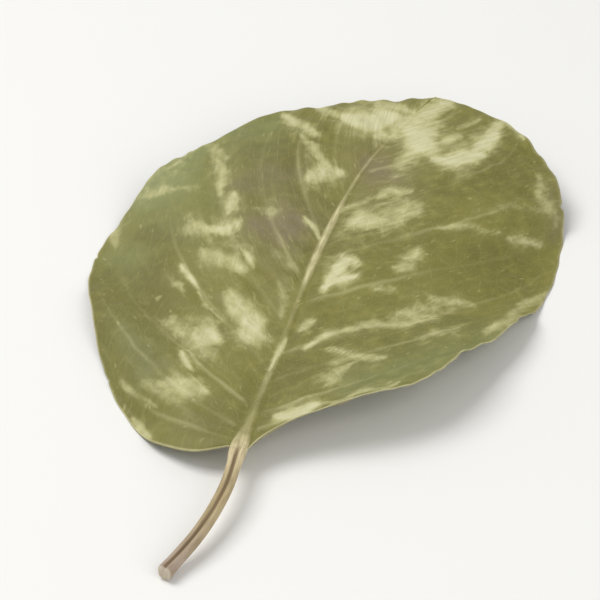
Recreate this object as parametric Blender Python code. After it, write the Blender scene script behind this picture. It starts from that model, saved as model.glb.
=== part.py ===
"""A single dried avocado leaf, lying face up: blade, ribs and stalk, grown as one piece.

The leaf is one closed skin. Its rows run from the cut end of the stalk, along the midrib, to
the tip. Its columns run from the left margin, across the midrib, to the right margin. On the
blade a row follows the side veins, which leave the midrib at a slant and bend towards the tip,
so a vein is a single raised row. Each point is worked out on the lower and on the upper face,
and a narrow wall joins the two faces along the margin.

Units are metres, +Z is up and the tip points along +Y. The origin lies on the surface that the
leaf rests on, under the middle of the whole leaf.
"""

import math

import bmesh
import bpy
from mathutils import Vector

# Where the blade meets its stalk, in the frame of the whole leaf
BASE_X = 0.0027
BASE_Y = -0.0414

# The curves of the leaf's lower face pass smoothly through these points (x, y, height above the
# surface). The points are measured from where the blade meets its stalk. A height below the
# surface ends in a small flat spot on it.
STALK = (
    (-0.0034, -0.0312, 0.0012),
    (-0.0001, -0.0208, 0.0034),
    (0.0010, -0.0104, 0.0047),
    (0.0, 0.0, 0.0052),
)
MIDRIB = (
    (0.0, 0.0, 0.0052),
    (-0.0008, 0.0270, 0.0068),
    (-0.0019, 0.0550, 0.0088),
    (-0.0015, 0.0820, 0.0083),
    (0.0012, 0.1000, 0.0070),
    (0.0050, 0.1145, 0.0062),
)
LEFT_MARGIN = (
    (-0.0020, 0.0, 0.0052),
    (-0.0085, -0.0018, 0.0036),
    (-0.0165, 0.0010, 0.0016),
    (-0.0255, 0.0096, -0.0022),
    (-0.0325, 0.0195, 0.0004),
    (-0.0386, 0.0310, 0.0022),
    (-0.0440, 0.0435, 0.0010),
    (-0.0456, 0.0535, -0.0022),
    (-0.0440, 0.0640, 0.0022),
    (-0.0410, 0.0740, 0.0054),
    (-0.0357, 0.0835, 0.0064),
    (-0.0292, 0.0925, 0.0068),
    (-0.0225, 0.1002, 0.0068),
    (-0.0140, 0.1060, 0.0066),
    (-0.0050, 0.1100, 0.0064),
    (0.0050, 0.1145, 0.0062),
)
RIGHT_MARGIN = (
    (0.0020, 0.0, 0.0052),
    (0.0035, 0.0036, 0.0060),
    (0.0087, 0.0083, 0.0080),
    (0.0173, 0.0136, 0.0098),
    (0.0275, 0.0218, 0.0106),
    (0.0332, 0.0345, 0.0090),
    (0.0380, 0.0495, 0.0048),
    (0.0400, 0.0640, 0.0),
    (0.0396, 0.0770, -0.0022),
    (0.0368, 0.0900, 0.0044),
    (0.0306, 0.0992, 0.0070),
    (0.0232, 0.1066, 0.0072),
    (0.0150, 0.1116, 0.0068),
    (0.0050, 0.1145, 0.0062),
)
BLADE_THICKNESS = 0.0007

# How rows are shared out: the power turns a row's share into a share of the midrib or margin
MIDRIB_POWER = 1.8
MARGIN_POWER = 0.8
LEFT_BEND = ((0.0, -0.16), (0.13, 0.10), (1.0, 0.10))
RIGHT_BEND = ((0.0, -0.20), (0.08, -0.18), (0.24, 0.05), (1.0, 0.10))

# The blade's cross-section between the midrib and the margin
HEIGHT_SPREAD = 1.7
CROWN = 0.0016
RIPPLE = 0.0007
RIPPLES = 7
QUILTING = 0.0006

# The side veins, as shares of the rows
FIRST_VEIN = 0.115
VEIN_PITCH = 0.095
VEINS = 9
VEIN_HALF_WIDTH = 0.008
VEIN_DEPTH = 0.0006
VEIN_CREST = 0.0002

# The stalk and midrib: (distance along the midrib, negative on the stalk, size)
STALK_LENGTH = 0.034
BLADE_LENGTH = 0.1145
RIB_HALF_WIDTH = (
    (-0.034, 0.0016),
    (-0.030, 0.0013),
    (-0.006, 0.0013),
    (0.0, 0.0020),
    (0.012, 0.0012),
    (0.045, 0.0009),
    (0.1145, 0.0004),
)
RIB_DEPTH = ((-0.034, 0.0014), (-0.006, 0.0012), (0.030, 0.0010), (0.1145, 0.0003))
RIB_CREST = ((-0.034, 0.0012), (-0.004, 0.0011), (0.012, 0.0003), (0.1145, 0.0001))
RIB_GROOVE = ((-0.034, 0.0005), (-0.004, 0.0005), (0.030, 0.0002), (0.1145, 0.0))
GROOVE_HALF_WIDTH = 0.45
STALK_EDGE = 0.0003

# How fine the faceted skin is
STALK_ROWS = 12
FAN_ROWS = 4
TIP_ROWS = 4
RIB_COLUMNS = 4
BLADE_COLUMNS = 10
COLUMN_POWER = 0.8

LEFT, RIGHT = -1, 1


def smooth(table, at):
    """Reads a table of (place, value), easing from each value to the next with a half cosine."""
    for (x0, y0), (x1, y1) in zip(table, table[1:]):
        if at <= x1:
            share = min(max((at - x0) / (x1 - x0), 0.0), 1.0)
            return y0 + (y1 - y0) * (1 - math.cos(math.pi * share)) / 2
    return table[-1][1]


def curve_point(points, share):
    """A point of the smooth curve through the points, at this share of their chord length.

    Each piece is a cubic. At a point its slope is that of the line between the two neighbours.
    """
    points = [Vector(point) for point in points]
    knots = [0.0]
    for before, after in zip(points, points[1:]):
        knots.append(knots[-1] + (after - before).length)
    last = len(points) - 1
    at = min(max(share, 0.0), 1.0) * knots[last]
    i = next(number for number in range(last) if at <= knots[number + 1] or number == last - 1)
    span = knots[i + 1] - knots[i]
    slopes = []
    for number in (i, i + 1):
        low, high = max(number - 1, 0), min(number + 1, last)
        slopes.append((points[high] - points[low]) * (span / (knots[high] - knots[low])))
    u = (at - knots[i]) / span
    start = points[i] * (1 + 2 * u) * (1 - u) ** 2 + slopes[0] * u * (1 - u) ** 2
    return start + points[i + 1] * (3 - 2 * u) * u**2 - slopes[1] * (1 - u) * u**2


def vein_line(row, across, side):
    """A point on the slanting line of a row, from above: a curve from the midrib to the margin.

    The lines before the first vein fan out from the base and bend back into its lobes.
    """
    start = curve_point(MIDRIB, row**MIDRIB_POWER)
    end = curve_point(LEFT_MARGIN if side == LEFT else RIGHT_MARGIN, row**MARGIN_POWER)
    chord = end - start
    towards_base = Vector((chord.y, -chord.x, 0)) * side
    bend = (start + end) / 2 + towards_base * smooth(LEFT_BEND if side == LEFT else RIGHT_BEND, row)
    rest = 1 - across
    return start * rest**2 + bend * 2 * across * rest + end * across**2


def blade_height(row, across, side):
    """The lower face: the midrib's height runs out into the margin's, with a crown between."""
    along = row**MARGIN_POWER
    margin = curve_point(LEFT_MARGIN if side == LEFT else RIGHT_MARGIN, along).z
    midrib = curve_point(MIDRIB, row**MIDRIB_POWER).z
    spread = across**HEIGHT_SPREAD
    crown = CROWN * math.sin(math.pi * across) * math.sin(math.pi * along)
    ripple = RIPPLE * across**3 * math.sin(2 * math.pi * RIPPLES * along + side)
    return midrib * (1 - spread) + margin * spread + crown + ripple * math.sin(math.pi * along)


def vein_rows(side):
    """One (row share, crest, swell) for each row of the blade.

    Each vein and the panel after it take six rows: the vein's crest with a foot on either side,
    and three over the panel, which swells most in its middle. The right veins come half a pitch
    after the left ones, so a vein on one side is level with the middle of a panel on the other.
    """
    rows = []
    for number in range(VEINS):
        level = FIRST_VEIN + VEIN_PITCH * number
        halfway = level + VEIN_PITCH / 2
        crest, middle = (level, halfway) if side == LEFT else (halfway, level)
        on_vein = [(crest - VEIN_HALF_WIDTH, 0, 0), (crest, 1, 0), (crest + VEIN_HALF_WIDTH, 0, 0)]
        on_panel = [(middle + VEIN_PITCH * step, 0, 1 - 9 * step**2) for step in (-0.2, 0.0, 0.2)]
        rows += on_vein + on_panel if side == LEFT else on_panel + on_vein
    first, last = rows[0][0], rows[-1][0]
    before = [(first * i / FAN_ROWS, 0, 0) for i in range(FAN_ROWS)]
    after = [(last + (1 - last) * i / TIP_ROWS, 0, 0) for i in range(1, TIP_ROWS + 1)]
    return before + rows + after


def rib_faces(distance, across):
    """(depth below, height above) of the rib at this distance, for a place from -1 to 1 across it.

    The underside is half an ellipse. The top has a groove between two low rims.
    """
    round_share = math.sqrt(max(1 - across**2, 0.0))
    below = smooth(RIB_DEPTH, distance) * round_share
    groove = smooth(RIB_GROOVE, distance) * math.exp(-((across / GROOVE_HALF_WIDTH) ** 2))
    above = smooth(RIB_CREST, distance) * round_share**0.5 - groove
    return below, above


def stalk_rows():
    """Rows of (lower point, upper point) across the stalk, from its cut end to the blade."""
    rows = []
    for number in range(STALK_ROWS):
        share = number / STALK_ROWS
        centre = curve_point(STALK, share)
        ahead = curve_point(STALK, share + 0.01) - curve_point(STALK, share - 0.01)
        sideways = Vector((ahead.y, -ahead.x, 0)).normalized()
        distance = -STALK_LENGTH * (1 - share)
        row = []
        for column in column_places():
            across = math.sin(math.pi / 2 * math.copysign(min(abs(column), 1.0), column))
            place = centre + sideways * (smooth(RIB_HALF_WIDTH, distance) * across)
            below, above = rib_faces(distance, across)
            row.append((place - Vector((0, 0, below)), place + Vector((0, 0, above + STALK_EDGE))))
        rows.append(row)
    return rows


def column_places():
    """Places across the leaf: -1 to 1 is the rib, and from there to -2 or 2 is the blade."""
    rib = [i / RIB_COLUMNS for i in range(RIB_COLUMNS)]
    blade = [1 + i / BLADE_COLUMNS for i in range(BLADE_COLUMNS + 1)]
    right = rib + blade
    return [-place for place in reversed(right[1:])] + right


def blade_point(left_row, right_row, column):
    """The (lower point, upper point) of the blade where a row crosses a column."""
    side = LEFT if column < 0 else RIGHT
    row, crest, swell = left_row if side == LEFT else right_row
    shared = (left_row[0] + right_row[0]) / 2
    if abs(column) < 1:
        row = shared + (row - shared) * abs(column)
    distance = BLADE_LENGTH * row**MIDRIB_POWER
    reach = (vein_line(row, 1.0, side) - vein_line(row, 0.0, side)).length
    rib_share = min(smooth(RIB_HALF_WIDTH, distance) / max(reach, 1e-9), 1.0)
    if abs(column) < 1:
        on_rib = math.sin(math.pi / 2 * abs(column))
        across = rib_share * on_rib
        below, above = rib_faces(distance, on_rib)
    else:
        across = rib_share + (1 - rib_share) * (abs(column) - 1) ** COLUMN_POWER
        fade = 1 - across**2
        below = VEIN_DEPTH * crest * fade
        above = VEIN_CREST * crest * fade
    place = vein_line(row, across, side)
    height = blade_height(row, across, side)
    if abs(column) > 1:
        height += QUILTING * swell * math.sin(math.pi * across)
    thickness = STALK_EDGE + (BLADE_THICKNESS - STALK_EDGE) * min(distance / 0.004 + across, 1.0)
    lower = Vector((place.x, place.y, height - below))
    upper = Vector((place.x, place.y, height + thickness + above))
    return lower, upper


def leaf_rows():
    """All rows of (lower point, upper point), from the stalk's cut end to the tip of the blade."""
    rows = stalk_rows()
    for left_row, right_row in zip(vein_rows(LEFT), vein_rows(RIGHT), strict=True):
        rows.append([blade_point(left_row, right_row, column) for column in column_places()])
    rows[-1] = [rows[-1][0]] * len(rows[-1])
    return rows


def rest_on_surface(rows):
    """Puts the leaf in its frame. What would hang below the surface lies flat on it."""
    base = Vector((BASE_X, BASE_Y, 0))
    placed = []
    for row in rows:
        placed_row = []
        for lower, upper in row:
            lift = max(0.0, -lower.z)
            placed_row.append((base + lower + Vector((0, 0, lift)), base + upper + Vector((0, 0, lift))))
        placed.append(placed_row)
    return placed


def build_skin(rows):
    """Two faces split into triangles alike, the wall along the margin and the stalk's cut end."""
    mesh = bmesh.new()
    lower = [[mesh.verts.new(point) for point, _ in row] for row in rows]
    upper = [[mesh.verts.new(point) for _, point in row] for row in rows]
    for i in range(len(rows) - 1):
        for j in range(len(rows[0]) - 1):
            mesh.faces.new((upper[i][j], upper[i][j + 1], upper[i + 1][j + 1]))
            mesh.faces.new((upper[i][j], upper[i + 1][j + 1], upper[i + 1][j]))
            mesh.faces.new((lower[i][j + 1], lower[i][j], lower[i + 1][j + 1]))
            mesh.faces.new((lower[i + 1][j + 1], lower[i][j], lower[i + 1][j]))
        mesh.faces.new((lower[i][0], upper[i][0], upper[i + 1][0], lower[i + 1][0]))
        mesh.faces.new((upper[i][-1], lower[i][-1], lower[i + 1][-1], upper[i + 1][-1]))
    for j in range(len(rows[0]) - 1):
        mesh.faces.new((lower[0][j], lower[0][j + 1], upper[0][j + 1], upper[0][j]))
        mesh.faces.new((lower[-1][j + 1], lower[-1][j], upper[-1][j], upper[-1][j + 1]))
    # On the stalk the blade's columns fall together, and so does all of the tip's row.
    bmesh.ops.remove_doubles(mesh, verts=mesh.verts, dist=0.000002)
    bmesh.ops.dissolve_degenerate(mesh, edges=mesh.edges, dist=0.000001)
    bmesh.ops.recalc_face_normals(mesh, faces=mesh.faces)
    bmesh.ops.triangulate(mesh, faces=mesh.faces)
    return mesh


def leaf_material():
    """The dry blade: olive green, with little gloss."""
    material = bpy.data.materials.new("dried_leaf")
    material.use_nodes = True
    surface = material.node_tree.nodes["Principled BSDF"]
    surface.inputs["Base Color"].default_value = (0.235, 0.225, 0.082, 1.0)
    surface.inputs["Roughness"].default_value = 0.55
    surface.inputs["Metallic"].default_value = 0.0
    return material


def main():
    for old in list(bpy.data.objects):
        bpy.data.objects.remove(old)
    skin = build_skin(rest_on_surface(leaf_rows()))
    data = bpy.data.meshes.new("leaf")
    skin.to_mesh(data)
    skin.free()
    data.materials.append(leaf_material())
    data.shade_smooth()
    leaf = bpy.data.objects.new("leaf", data)
    bpy.context.scene.collection.objects.link(leaf)


main()
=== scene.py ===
# %% [markdown]
# # A dried avocado leaf
#
# One leaf lies face up on a pale table. It has a leathery olive blade, a midrib with side
# veins that slant towards the tip, and a curved stalk with a channel on top. A imported solid
# model of it already exists and gives its place and size. This lesson makes the fine leaf
# that is seen: first its shape, worked out with numpy, then its material.
#
# The first cell loads the imported model and moves each part's place into its mesh. All lengths
# are metres, +Z is up and the tip of the leaf points along +Y.

import bmesh
import bpy
import numpy as np
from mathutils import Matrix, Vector


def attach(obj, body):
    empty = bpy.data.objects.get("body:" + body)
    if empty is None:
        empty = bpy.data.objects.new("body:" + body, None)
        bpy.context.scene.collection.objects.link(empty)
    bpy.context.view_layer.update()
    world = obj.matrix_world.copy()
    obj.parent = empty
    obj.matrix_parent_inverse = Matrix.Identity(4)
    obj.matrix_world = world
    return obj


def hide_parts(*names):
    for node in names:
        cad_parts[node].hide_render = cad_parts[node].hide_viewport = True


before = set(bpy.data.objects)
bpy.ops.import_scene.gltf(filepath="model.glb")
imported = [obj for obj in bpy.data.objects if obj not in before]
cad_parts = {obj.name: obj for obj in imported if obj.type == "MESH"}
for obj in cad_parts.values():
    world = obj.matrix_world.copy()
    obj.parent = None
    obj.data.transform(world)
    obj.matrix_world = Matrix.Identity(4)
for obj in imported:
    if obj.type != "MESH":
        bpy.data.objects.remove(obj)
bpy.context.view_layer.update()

# %% [markdown]
# ## Two ways to read a shape
#
# A leaf has hardly a straight line in it. It could be sculpted by hand, or traced with curve
# objects. Here every line is a short list of points and a function that joins them smoothly,
# because a list of ten points is easy to read and to change. One function reads a plain
# value, such as the width of the midrib at some distance. The other reads a line in space.


# %% Values and lines from short lists
def eased(table, at):
    """Reads a list of (place, value). Between two entries the value follows half a cosine wave."""
    places, values = np.array(table).T
    entry = np.clip(np.searchsorted(places, at) - 1, 0, len(places) - 2)
    share = np.clip((at - places[entry]) / (places[entry + 1] - places[entry]), 0, 1)
    rise = (1 - np.cos(np.pi * share)) / 2
    return values[entry] + (values[entry + 1] - values[entry]) * rise


def line_through(points, share):
    """Places on the smooth line through the points, each at its share of the chord length.

    Each piece is a cubic that leaves and meets its end points at given slopes. The slope at a
    point is that of the straight line between the points before and after it.
    """
    points = np.array(points)
    steps = np.linalg.norm(np.diff(points, axis=0), axis=1)
    knots = np.concatenate([[0], np.cumsum(steps)])
    around = np.clip(np.arange(len(points))[:, None] + [-1, 1], 0, len(points) - 1)
    rise = points[around[:, 1]] - points[around[:, 0]]
    slopes = rise / (knots[around[:, 1]] - knots[around[:, 0]])[:, None]
    at = np.clip(share, 0, 1) * knots[-1]
    piece = np.clip(np.searchsorted(knots, at, side="right") - 1, 0, len(points) - 2)
    span = (knots[piece + 1] - knots[piece])[..., None]
    u = (at - knots[piece])[..., None] / span
    start = points[piece] * (1 + 2 * u) + slopes[piece] * span * u
    end = points[piece + 1] * (3 - 2 * u) - slopes[piece + 1] * span * (1 - u)
    return start * (1 - u) ** 2 + end * u**2


def swell(low, high, value):
    """0 up to the low value and 1 from the high one on, with a smooth S between them."""
    share = np.clip((value - low) / (high - low), 0, 1)
    return share * share * (3 - 2 * share)


# %% [markdown]
# ## The lines that give the leaf its form
#
# Seen from above, a leaf is known by its outline and its midrib. Its curl is known by how
# high both run above the table. So the stalk, the midrib and both margins are lists of
# (x, y, height), measured from where the blade meets the stalk. They are the lists that the
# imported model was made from, which is why the fine leaf needs no fitting. Only the margins'
# first points lie closer together, because the fine stalk is slimmer. A height below the
# table means that the leaf lies flat there.

# %% Stalk, midrib and margins
BLADE_START = np.array([0.0027, -0.0414, 0.0])
STALK = (
    (-0.0034, -0.0312, 0.0012),
    (-0.0001, -0.0208, 0.0034),
    (0.0010, -0.0104, 0.0047),
    (0.0, 0.0, 0.0052),
)
MIDRIB = (
    (0.0, 0.0, 0.0052),
    (-0.0008, 0.0270, 0.0068),
    (-0.0019, 0.0550, 0.0088),
    (-0.0015, 0.0820, 0.0083),
    (0.0012, 0.1000, 0.0070),
    (0.0050, 0.1145, 0.0062),
)
LEFT_MARGIN = (
    (-0.0016, 0.0, 0.0052),
    (-0.0085, -0.0018, 0.0036),
    (-0.0165, 0.0010, 0.0016),
    (-0.0255, 0.0096, -0.0022),
    (-0.0325, 0.0195, 0.0004),
    (-0.0386, 0.0310, 0.0022),
    (-0.0440, 0.0435, 0.0010),
    (-0.0456, 0.0535, -0.0022),
    (-0.0440, 0.0640, 0.0022),
    (-0.0410, 0.0740, 0.0054),
    (-0.0357, 0.0835, 0.0064),
    (-0.0292, 0.0925, 0.0068),
    (-0.0225, 0.1002, 0.0068),
    (-0.0140, 0.1060, 0.0066),
    (-0.0050, 0.1100, 0.0064),
    (0.0050, 0.1145, 0.0062),
)
RIGHT_MARGIN = (
    (0.0016, 0.0, 0.0052),
    (0.0035, 0.0036, 0.0060),
    (0.0087, 0.0083, 0.0080),
    (0.0173, 0.0136, 0.0098),
    (0.0275, 0.0218, 0.0106),
    (0.0332, 0.0345, 0.0090),
    (0.0380, 0.0495, 0.0048),
    (0.0400, 0.0640, 0.0),
    (0.0396, 0.0770, -0.0022),
    (0.0368, 0.0900, 0.0044),
    (0.0306, 0.0992, 0.0070),
    (0.0232, 0.1066, 0.0072),
    (0.0150, 0.1116, 0.0068),
    (0.0050, 0.1145, 0.0062),
)
LEFT, RIGHT = -1, 1
MARGINS = {LEFT: LEFT_MARGIN, RIGHT: RIGHT_MARGIN}
widest = max(x for x, y, z in RIGHT_MARGIN) - min(x for x, y, z in LEFT_MARGIN)
print("the widest points of the margins are", round(1000 * widest, 1), "mm apart")

# %% [markdown]
# ## Stalk and midrib
#
# The stalk is a stout strip, round below, with a shallow channel between two rims on top. It
# widens where the blade begins and goes on as the midrib, which gets thinner all the way to
# the tip. Both share one cross-section, so they read as one part that grew together. On the
# stalk its crest is broad, and on the blade it narrows to a fine raised line.

# %% Width and cross-section of stalk and midrib
STALK_LENGTH = 0.034
BLADE_LENGTH = 0.1145
RIB_HALF_WIDTH = (
    (-0.034, 0.00135),
    (-0.030, 0.00118),
    (-0.006, 0.00122),
    (0.0, 0.0016),
    (0.012, 0.0011),
    (0.045, 0.0009),
    (0.1145, 0.0004),
)
RIB_DEPTH = ((-0.034, 0.0014), (-0.006, 0.0012), (0.030, 0.0010), (0.1145, 0.0003))
RIB_CREST = (
    (-0.034, 0.0011),
    (-0.004, 0.0009),
    (0.009, 0.00012),
    (0.030, 0.0002),
    (0.056, 0.0003),
    (0.1145, 0.0001),
)
RIB_GROOVE = ((-0.034, 0.0003), (-0.027, 0.0006), (-0.004, 0.0005), (0.012, 0.0))
CREST_POWER = ((-0.006, 0.5), (0.010, 3.5))
GROOVE_HALF_WIDTH = 0.4


def rib_section(distance, across):
    """(depth below, height above) of the rib, for a place from -1 to 1 across it.

    Below is half an ellipse. Above, a power of its arch makes the crest, and a bell curve is
    taken out of it as the groove.
    """
    arch = np.sqrt(np.maximum(1 - across**2, 0))
    crest = eased(RIB_CREST, distance) * arch ** eased(CREST_POWER, distance)
    groove = eased(RIB_GROOVE, distance) * np.exp(-((across / GROOVE_HALF_WIDTH) ** 2))
    return eased(RIB_DEPTH, distance) * arch, crest - groove


for at in (-0.02, 0.0, 0.05):
    heights = rib_section(at, np.array([0.0, 0.6]))[1]
    print("rib at", 1000 * at, "mm: middle and rim stand", np.round(1000 * heights, 2), "mm up")


NEARBY = 0.01


def across_strip(points, share, half_width):
    """Places a half width to the right of the line through the points, square to the line."""
    ahead = line_through(points, share + NEARBY) - line_through(points, share - NEARBY)
    sideways = np.stack([ahead[..., 1], -ahead[..., 0], 0 * ahead[..., 2]], axis=-1)
    sideways /= np.linalg.norm(sideways, axis=-1)[..., None]
    return line_through(points, share) + sideways * half_width[..., None]


# %% [markdown]
# ## Lines that slant like the side veins
#
# The side veins of this leaf leave the midrib at a slant and bend towards the tip. A grid
# whose rows ran straight across would cut them at an angle and make them jagged. So the rows
# of the grid follow the veins: row 0 is at the base and row 1 at the tip, and each joins a
# place on the midrib's edge to a place further on along the margin. The first rows fan out
# into the two rounded lobes beside the stalk. The left veins are steeper than the right ones,
# so a line that follows one drifts to later rows on its way out. Veins don't leave the midrib
# at even steps either, so each line is moved along it a bit.

# %% One row of the blade, from above
MIDRIB_POWER = 1.8
MARGIN_POWER = 0.8
BENDS = {
    LEFT: ((0.0, -0.16), (0.13, 0.10), (1.0, 0.10)),
    RIGHT: ((0.0, -0.20), (0.08, -0.18), (0.24, 0.05), (1.0, 0.10)),
}


def on_midrib(row, on_rib):
    """Places on the midrib's strip: on_rib is -1 on its left edge and 1 on its right one."""
    share = row**MIDRIB_POWER
    return across_strip(MIDRIB, share, eased(RIB_HALF_WIDTH, BLADE_LENGTH * share) * on_rib)


def row_line(row, across, side):
    """Places on a row: across is 0 at the midrib's edge and 1 at the margin.

    The line is a quadratic curve. Its middle point is pushed sideways, off the straight line
    between its ends, by a share of that line's length.
    """
    start = on_midrib(row, side)
    end = line_through(MARGINS[side], row**MARGIN_POWER)
    chord = end - start
    sideways = np.stack([chord[..., 1], -chord[..., 0], 0 * chord[..., 2]], axis=-1) * side
    bend = (start + end) / 2 + sideways * eased(BENDS[side], row)[..., None]
    across = across[..., None]
    return start * (1 - across) ** 2 + bend * 2 * across * (1 - across) + end * across**2


SLANT = {LEFT: 0.15, RIGHT: 0.02}
MOVED = {
    LEFT: (
        (0.02, 0.0), (0.115, -0.025), (0.21, -0.037), (0.305, -0.037),
        (0.40, 0.0), (0.50, 0.014), (1.0, 0.0),
    ),
    RIGHT: (
        (0.05, 0.0), (0.16, 0.008), (0.26, -0.010), (0.35, 0.010),
        (0.45, -0.012), (0.54, 0.010), (1.0, 0.0),
    ),
}


def drifted(way, across, side, on_rib=1.0):
    """The row that a line following the veins has reached.

    It is moved along the midrib by its own step, and drifts by half a sine wave on its way out.
    """
    return way + eased(MOVED[side], way) * on_rib + SLANT[side] * across * np.sin(np.pi * way)


def vein_line(way, across, side):
    """Places on a line that follows the veins. It starts at the midrib on the row of that share."""
    return row_line(drifted(way, across, side), across, side)


for side, name in ((LEFT, "left"), (RIGHT, "right")):
    start, end = vein_line(np.array([0.5, 0.5]), np.array([0.0, 1.0]), side)
    print("the middle", name, "vein line ends", np.round(1000 * (end - start)[:2]), "mm further")


# %% [markdown]
# ## How the blade curls
#
# Fresh leaves are nearly flat. As they dry they stiffen in soft waves: here the middle stands
# a little higher than both margins, one margin lifts beside the stalk, and the edge ripples.
# A cloth simulation could crumple a sheet, but a dried leaf keeps its ribs straight and only
# bends between them. A sum of a few smooth waves does that and gives the same leaf each time.
# Faint dents and crinkles are added to them, because no dry blade is smooth.

# %% Height of the blade above the table
CROWN = 0.0016
RIPPLE = 0.0007
RIPPLES = 7
HEIGHT_SPREAD = 1.7
UNEVENNESS = 0.00022
CRINKLE = 0.00015


def blade_height(row, across, side):
    """The midrib's height runs out into the margin's by a power of across.

    A crown is added, which is half a sine wave both ways, and a ripple that grows towards the
    margin with the cube of across.
    """
    along = row**MARGIN_POWER
    midrib = line_through(MIDRIB, row**MIDRIB_POWER)[..., 2]
    margin = line_through(MARGINS[side], along)[..., 2]
    spread = across**HEIGHT_SPREAD
    fade = np.sin(np.pi * along)
    crown = CROWN * np.sin(np.pi * across) * fade
    ripple = RIPPLE * across**3 * np.sin(2 * np.pi * RIPPLES * along + side) * fade
    return midrib * (1 - spread) + margin * spread + crown + ripple


middle_height = blade_height(np.array([0.5]), np.array([0.0]), LEFT)[0]
print("half way up, the midrib runs", round(1000 * middle_height, 1), "mm above the table")


def unevenness(place):
    """Faint dents and crinkles of a dry blade, as heights.

    Dents are three crossed sine waves, 9 to 13 mm long. Crinkles are crossed waves of 5 to 6 mm,
    bent by slow waves and stronger in some parts than in others.
    """
    x, y = place[..., 0] * 1000, place[..., 1] * 1000
    dents = np.sin(0.52 * x + 0.17 * y + 1.0) + np.sin(-0.23 * x + 0.41 * y + 2.0)
    dents = UNEVENNESS * (dents + 0.8 * np.sin(0.31 * x - 0.62 * y + 0.5)) / 2
    bent_x, bent_y = x + 2.4 * np.sin(0.23 * y + 0.7), y + 2.0 * np.sin(0.19 * x + 2.2)
    crossed = np.sin(1.02 * bent_x + 0.38 * bent_y) * np.sin(-0.44 * bent_x + 0.95 * bent_y + 1.3)
    crinkles = crossed + 0.7 * np.sin(0.55 * bent_x - 1.08 * bent_y)
    return dents + CRINKLE * crinkles * (1 + 0.6 * np.sin(0.13 * x - 0.10 * y + 0.8))


# %% [markdown]
# ## Side veins
#
# Under the blade the side veins stand out as rounded ridges, and on top they show as fine
# raised lines. They thin out on their way and, close to the margin, swing towards the tip
# and fade into the next one. Nine leave the midrib on each side, the right ones half a step
# after the left ones, with a weaker one near the base. Curve objects laid on the blade would
# look like wires, so the veins are raised from the surface itself: the height near a vein
# falls off as a bell curve with the distance from its line.

# %% Ridge of the nearest side vein
FIRST_VEIN = {LEFT: 0.115, RIGHT: 0.1625}
VEIN_PITCH = 0.095
VEINS = 9
VEIN_SWING = 0.85
VEIN_WIDTH = ((0.0, 0.00050), (0.5, 0.00040), (1.0, 0.00024))
VEIN_STRENGTH = ((0.0, 1.0), (0.6, 0.8), (0.9, 0.35), (1.0, 0.0))
BASAL_STRENGTH = 0.5
VEIN_WANDER = 0.004
LEAST_PALE, MORE_PALE = 0.15, 0.5
PROBE = 0.001


def way_spacing(way, across, side):
    """Metres between vein lines, for each whole share: how fast a place moves as its line's
    share grows, measured square to the line's own direction."""
    ahead = vein_line(np.minimum(way + PROBE, 1), across, side)
    behind = vein_line(np.maximum(way - PROBE, 0), across, side)
    step = (ahead - behind)[..., :2] / (2 * PROBE)
    out = vein_line(way, np.minimum(across + PROBE, 1), side)
    back = vein_line(way, np.maximum(across - PROBE, 0), side)
    direction = (out - back)[..., :2]
    direction /= np.maximum(np.linalg.norm(direction, axis=-1), 1e-9)[..., None]
    return np.abs(step[..., 0] * direction[..., 1] - step[..., 1] * direction[..., 0])


def vein_ridge(way, across, side):
    """(ridge, paleness) of the nearest side vein.

    The ridge is 1 on the vein's line and falls off as a bell curve of the distance from it.
    Its paleness rises and falls along the vein with a sine wave, and no two veins match.
    """
    swung = way - FIRST_VEIN[side] - VEIN_SWING * VEIN_PITCH * across**6
    number = np.clip(np.round(swung / VEIN_PITCH), -1, VEINS - 1)
    wander = VEIN_WANDER * np.sin(5 * across + 2.1 * number + side) * across
    distance = (swung - number * VEIN_PITCH + wander) * way_spacing(way, across, side)
    ridge = np.exp(-((distance / eased(VEIN_WIDTH, across)) ** 2))
    strength = eased(VEIN_STRENGTH, across) * np.where(number < 0, BASAL_STRENGTH, 1.0)
    ridge = ridge * strength * swell(0.02, 0.05, way)
    worn = 0.5 + 0.5 * np.sin(7 * across + 4.3 * number + 1.7 * side)
    return ridge, ridge * (LEAST_PALE + MORE_PALE * worn**2)


def panel_swell(way, side):
    """1 half way between two veins and 0 on them: a squared cosine that fades at both ends."""
    turn = np.pi * (way - FIRST_VEIN[side] - VEIN_PITCH / 2) / VEIN_PITCH
    return np.cos(turn) ** 2 * swell(0.02, 0.10, way) * swell(1.0, 0.92, way)


print("each side has", VEINS, "side veins and a weaker one at the base")


# %% [markdown]
# ## Where the grid is fine
#
# A vein is half a millimetre wide, and a grid that fine all over would be far too heavy. So
# the rows crowd together on the crests of the veins and spread out over the panels between
# them. The columns crowd at the midrib and at the margin, where the surface turns most.

# %% Rows and columns of the grid
STALK_ROWS = 60
BLADE_ROWS = 296
RIB_COLUMNS = 14
BLADE_COLUMNS = 54
CROWDING = 0.6


def crowded_rows(share, side):
    """Vein line for each even share: a sine wave, one turn a vein, draws them to the crests."""
    turn = 2 * np.pi * (share - FIRST_VEIN[side]) / VEIN_PITCH
    window = swell(0, FIRST_VEIN[LEFT], share) * swell(1.0, 0.9, share)
    return share - CROWDING * VEIN_PITCH / (2 * np.pi) * np.sin(turn) * window


even = np.linspace(0, 1, BLADE_COLUMNS + 1)[1:]
crowded = (even + (1 - np.cos(np.pi * even)) / 2) / 2
over_rib = np.sin(np.pi / 2 * np.linspace(0, 1, RIB_COLUMNS + 1))
rib_columns = np.concatenate([over_rib, np.ones(BLADE_COLUMNS)])
blade_columns = np.concatenate([np.zeros(RIB_COLUMNS + 1), crowded])


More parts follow.
